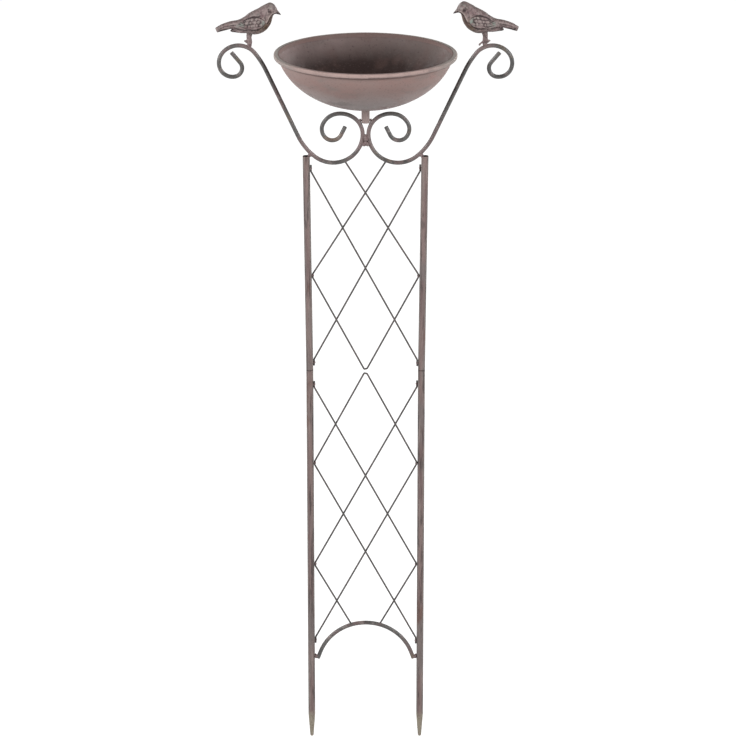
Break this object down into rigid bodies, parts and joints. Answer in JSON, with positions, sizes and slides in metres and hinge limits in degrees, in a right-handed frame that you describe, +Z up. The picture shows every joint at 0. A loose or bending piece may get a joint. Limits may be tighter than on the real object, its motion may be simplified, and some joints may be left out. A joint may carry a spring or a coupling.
{
  "type": "bird bath",
  "caption": "Metal bird bath: a spun bowl between two perching birds on scrolled rods, over a knock-down wire trellis with ground stakes.",
  "frame": {"origin": "midway between the two ground stakes, level with their tips, on the plane of the trellis", "axes": "+Z up along the stakes, +X across the trellis, +Y from front to back"},
  "size_m": [0.4938, 0.3, 1.3065],
  "materials": {
    "tube_paint": "aged matt mauve-brown paint",
    "rod_paint": "aged matt grey-brown paint",
    "wire_paint": "matt dark grey paint",
    "bowl_paint": "aged matt mauve-brown paint, darker inside",
    "bird_paint": "cast, matt mauve paint with brown and green patina",
    "weld_paint": "painted weld bead",
    "bare_steel": "dull bare steel"
  },
  "bodies": {
    "lower_section": {"lower_left_leg": "tube_paint", "lower_right_leg": "tube_paint", "bottom_arch": "rod_paint", "lower_zigzag_wire": "wire_paint", "lower_front_wire": "wire_paint", "lower_back_wire": "wire_paint", "lower_wire_welds": "weld_paint", "arch_welds": "weld_paint"},
    "upper_section": {"upper_left_leg": "tube_paint", "upper_right_leg": "tube_paint", "left_spigot": "bare_steel", "right_spigot": "bare_steel", "left_scroll": "rod_paint", "right_scroll": "rod_paint", "bowl_socket": "tube_paint", "left_bird": "bird_paint", "right_bird": "bird_paint", "upper_front_diagonal": "wire_paint", "upper_back_diagonal": "wire_paint", "upper_zigzag_wire": "wire_paint", "upper_wire_welds": "weld_paint", "scroll_centre_weld": "weld_paint", "leg_top_welds": "weld_paint", "socket_welds": "weld_paint"},
    "bowl_pin": {"bowl_pin": "bare_steel"},
    "bowl": {"bowl": "bowl_paint"}
  },
  "joints": [
    {"name": "upper_section_lift", "type": "slide", "parent": "lower_section", "child": "upper_section", "axis": [0, 0, 1], "range_m": [0, 0.05]},
    {"name": "bowl_lift", "type": "slide", "parent": "upper_section", "child": "bowl_pin", "axis": [0, 0, 1], "range_m": [0, 0.035]},
    {"name": "bowl_turn", "type": "hinge", "parent": "bowl_pin", "child": "bowl", "pos_m": [0, 0, 1.12], "axis": [0, 0, 1], "continuous": true}
  ]
}
